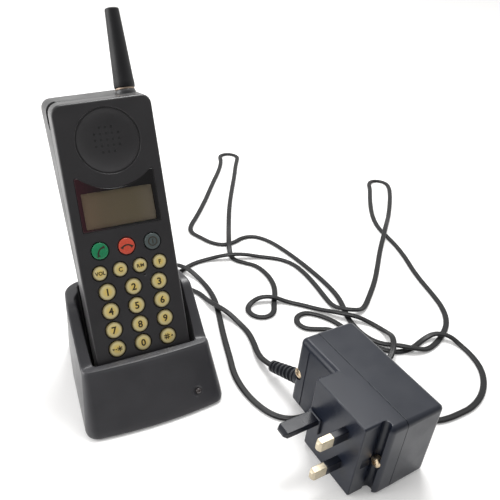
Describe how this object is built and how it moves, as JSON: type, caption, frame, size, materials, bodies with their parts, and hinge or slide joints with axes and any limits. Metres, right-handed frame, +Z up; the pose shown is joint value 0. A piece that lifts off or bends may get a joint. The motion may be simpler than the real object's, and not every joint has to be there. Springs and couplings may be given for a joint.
{
  "type": "portable telephone with charging cradle",
  "caption": "Upright handset with keypad, display and short aerial standing in a leaning desk charging cradle, fed by a plug-in mains adapter through a long thin cord.",
  "frame": {"origin": "centre of the bounding box of the cradle and handset, on the table the feet stand on", "axes": "+X to the right seen from the front, +Y to the back, +Z up"},
  "size_m": [0.3534, 0.4142, 0.1987],
  "materials": {
    "handset_plastic": "satin, moulded, very fine grain",
    "key_cream": "satin, slightly translucent",
    "key_green": "satin",
    "key_red": "satin",
    "key_grey": "satin",
    "lens": "clear, tinted, glossy",
    "display_glass": "grey-green liquid crystal panel in a frame",
    "speaker_black": "dark mesh",
    "silicone": "soft, matt",
    "circuit_board": "green solder mask",
    "contact_metal": "plated, bright",
    "aerial_rubber": "satin black",
    "aerial_plastic": "satin black",
    "ring_brass": "polished",
    "screw_steel": "machined",
    "cell_wrap": "shrink sleeve",
    "cradle_plastic": "fine sparked grain",
    "foot_rubber": "soft, matt",
    "lamp": "diffusing, unlit",
    "cord_rubber": "smooth, satin",
    "adapter_plastic": "satin with a sheen",
    "pin_brass": "worn, bright",
    "earth_plastic": "glossy black",
    "sleeve_plastic": "glossy black",
    "screw_brass": "dulled",
    "core_steel": "varnished laminations",
    "winding": "enamelled copper under tape"
  },
  "bodies": {
    "cradle": {"cradle_shell": "cradle_plastic", "cradle_base": "cradle_plastic", "cradle_feet": "foot_rubber", "base_screws": "screw_steel", "charge_board": "circuit_board", "charge_contacts": "contact_metal", "charge_lamp": "lamp", "cord_gland": "cord_rubber", "supply_cord": "cord_rubber", "adapter_front": "adapter_plastic", "adapter_back": "adapter_plastic", "pin_sleeves": "sleeve_plastic", "adapter_screws": "screw_brass", "transformer_core": "core_steel", "transformer_winding": "winding", "rectifier_board": "circuit_board", "strain_relief": "cord_rubber", "live_pin": "pin_brass", "neutral_pin": "pin_brass", "earth_pin": "earth_plastic"},
    "handset": {"front_cover": "handset_plastic", "back_shell": "handset_plastic", "display_lens": "lens", "display_module": "display_glass", "earpiece_speaker": "speaker_black", "microphone": "speaker_black", "keypad_mat": "silicone", "main_board": "circuit_board", "charge_pads": "contact_metal", "aerial_nut": "aerial_plastic", "aerial_ring": "ring_brass", "aerial_mast": "aerial_rubber", "case_screws": "screw_steel"},
    "battery": {"battery_case": "handset_plastic", "battery_cells": "cell_wrap"},
    "battery_latch": {"battery_latch": "handset_plastic"},
    "key_0": {"key_0": "key_cream"},
    "key_1": {"key_1": "key_cream"},
    "key_2": {"key_2": "key_cream"},
    "key_3": {"key_3": "key_cream"},
    "key_4": {"key_4": "key_cream"},
    "key_5": {"key_5": "key_cream"},
    "key_6": {"key_6": "key_cream"},
    "key_7": {"key_7": "key_cream"},
    "key_8": {"key_8": "key_cream"},
    "key_9": {"key_9": "key_cream"},
    "key_clear": {"key_clear": "key_cream"},
    "key_end": {"key_end": "key_red"},
    "key_function": {"key_function": "key_cream"},
    "key_hash": {"key_hash": "key_cream"},
    "key_power": {"key_power": "key_grey"},
    "key_recall": {"key_recall": "key_cream"},
    "key_send": {"key_send": "key_green"},
    "key_star": {"key_star": "key_cream"},
    "key_volume": {"key_volume": "key_cream"}
  },
  "joints": [
    {"name": "handset_lift", "type": "slide", "parent": "cradle", "child": "handset", "axis": [0, 0.4384, 0.8988], "range_m": [0, 0.075]},
    {"name": "battery_slide", "type": "slide", "parent": "handset", "child": "battery", "axis": [0, -0.4384, -0.8988], "range_m": [0, 0.007]},
    {"name": "battery_latch_slide", "type": "slide", "parent": "battery", "child": "battery_latch", "axis": [0, -0.4384, -0.8988], "range_m": [0, 0.0018], "stiffness_N_per_m": 600},
    {"name": "key_0_press", "type": "slide", "parent": "handset", "child": "key_0", "axis": [0, 0.8988, -0.4384], "range_m": [0, 0.001], "stiffness_N_per_m": 400},
    {"name": "key_1_press", "type": "slide", "parent": "handset", "child": "key_1", "axis": [0, 0.8988, -0.4384], "range_m": [0, 0.001], "stiffness_N_per_m": 400},
    {"name": "key_2_press", "type": "slide", "parent": "handset", "child": "key_2", "axis": [0, 0.8988, -0.4384], "range_m": [0, 0.001], "stiffness_N_per_m": 400},
    {"name": "key_3_press", "type": "slide", "parent": "handset", "child": "key_3", "axis": [0, 0.8988, -0.4384], "range_m": [0, 0.001], "stiffness_N_per_m": 400},
    {"name": "key_4_press", "type": "slide", "parent": "handset", "child": "key_4", "axis": [0, 0.8988, -0.4384], "range_m": [0, 0.001], "stiffness_N_per_m": 400},
    {"name": "key_5_press", "type": "slide", "parent": "handset", "child": "key_5", "axis": [0, 0.8988, -0.4384], "range_m": [0, 0.001], "stiffness_N_per_m": 400},
    {"name": "key_6_press", "type": "slide", "parent": "handset", "child": "key_6", "axis": [0, 0.8988, -0.4384], "range_m": [0, 0.001], "stiffness_N_per_m": 400},
    {"name": "key_7_press", "type": "slide", "parent": "handset", "child": "key_7", "axis": [0, 0.8988, -0.4384], "range_m": [0, 0.001], "stiffness_N_per_m": 400},
    {"name": "key_8_press", "type": "slide", "parent": "handset", "child": "key_8", "axis": [0, 0.8988, -0.4384], "range_m": [0, 0.001], "stiffness_N_per_m": 400},
    {"name": "key_9_press", "type": "slide", "parent": "handset", "child": "key_9", "axis": [0, 0.8988, -0.4384], "range_m": [0, 0.001], "stiffness_N_per_m": 400},
    {"name": "key_clear_press", "type": "slide", "parent": "handset", "child": "key_clear", "axis": [0, 0.8988, -0.4384], "range_m": [0, 0.001], "stiffness_N_per_m": 400},
    {"name": "key_end_press", "type": "slide", "parent": "handset", "child": "key_end", "axis": [0, 0.8988, -0.4384], "range_m": [0, 0.001], "stiffness_N_per_m": 400},
    {"name": "key_function_press", "type": "slide", "parent": "handset", "child": "key_function", "axis": [0, 0.8988, -0.4384], "range_m": [0, 0.001], "stiffness_N_per_m": 400},
    {"name": "key_hash_press", "type": "slide", "parent": "handset", "child": "key_hash", "axis": [0, 0.8988, -0.4384], "range_m": [0, 0.001], "stiffness_N_per_m": 400},
    {"name": "key_power_press", "type": "slide", "parent": "handset", "child": "key_power", "axis": [0, 0.8988, -0.4384], "range_m": [0, 0.001], "stiffness_N_per_m": 400},
    {"name": "key_recall_press", "type": "slide", "parent": "handset", "child": "key_recall", "axis": [0, 0.8988, -0.4384], "range_m": [0, 0.001], "stiffness_N_per_m": 400},
    {"name": "key_send_press", "type": "slide", "parent": "handset", "child": "key_send", "axis": [0, 0.8988, -0.4384], "range_m": [0, 0.001], "stiffness_N_per_m": 400},
    {"name": "key_star_press", "type": "slide", "parent": "handset", "child": "key_star", "axis": [0, 0.8988, -0.4384], "range_m": [0, 0.001], "stiffness_N_per_m": 400},
    {"name": "key_volume_press", "type": "slide", "parent": "handset", "child": "key_volume", "axis": [0, 0.8988, -0.4384], "range_m": [0, 0.001], "stiffness_N_per_m": 400}
  ]
}
